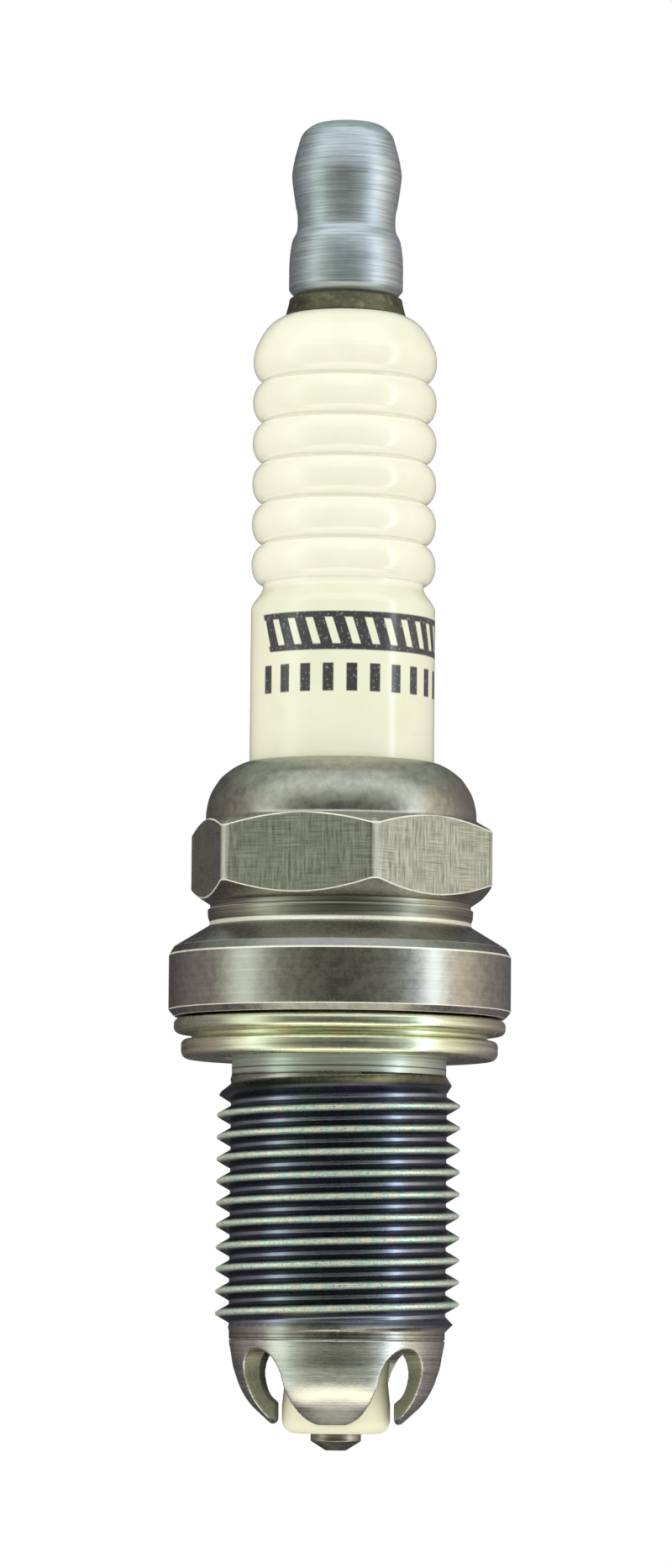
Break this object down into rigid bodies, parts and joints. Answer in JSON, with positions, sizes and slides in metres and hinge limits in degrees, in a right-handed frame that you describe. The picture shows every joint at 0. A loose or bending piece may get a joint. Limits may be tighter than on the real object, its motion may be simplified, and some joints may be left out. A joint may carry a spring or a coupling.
{
  "type": "spark plug",
  "caption": "Spark plug with an M14 threaded steel shell, 16 mm hexagon, ribbed ivory porcelain, screw-on snap terminal, folded gasket and a slotted ground electrode cup round the nose.",
  "frame": {"origin": "on the axis, in the plane of the flange's underside, which is the seat the gasket lies under", "axes": "+Z along the axis towards the terminal; the firing end points to -Z; a tongue of the crown faces -Y to within 4 degrees"},
  "size_m": [0.0196, 0.0196, 0.0763],
  "materials": {
    "nut_plating": "bright nickel plating, turned",
    "stud_steel": "dull olive-brown passivated steel",
    "porcelain": "glossy ivory glaze above the shell, bare at the nose",
    "seal_glass": "copper-filled sealing glass, opaque",
    "resistor_glass": "carbon-loaded glass rod",
    "electrode_nickel": "nickel alloy, brownish grey",
    "copper": "copper",
    "shell_steel": "plated steel, warm dark grey with a yellowish sheen",
    "crown_nickel": "nickel alloy, olive grey with brighter cut edges",
    "washer_steel": "soft steel",
    "talc": "pressed talc powder",
    "gasket_zinc": "zinc plate with a yellow-green tint"
  },
  "bodies": {
    "plug": {"terminal_stud": "stud_steel", "insulator": "porcelain", "upper_glass_seal": "seal_glass", "resistor": "resistor_glass", "lower_glass_seal": "seal_glass", "centre_electrode": "electrode_nickel", "electrode_core": "copper", "shell": "shell_steel", "ground_electrode_crown": "crown_nickel", "seat_washer": "washer_steel", "lower_wire_ring": "washer_steel", "talc_packing": "talc", "upper_wire_ring": "washer_steel"},
    "terminal": {"terminal_nut": "nut_plating"},
    "seal_ring": {"gasket": "gasket_zinc"}
  },
  "joints": [
    {"name": "terminal_nut_lift", "type": "slide", "parent": "plug", "child": "terminal", "axis": [0, 0, 1], "range_m": [0, 0.009]},
    {"name": "gasket_float", "type": "slide", "parent": "plug", "child": "seal_ring", "axis": [0, 0, -1], "range_m": [0, 0.0008]}
  ]
}
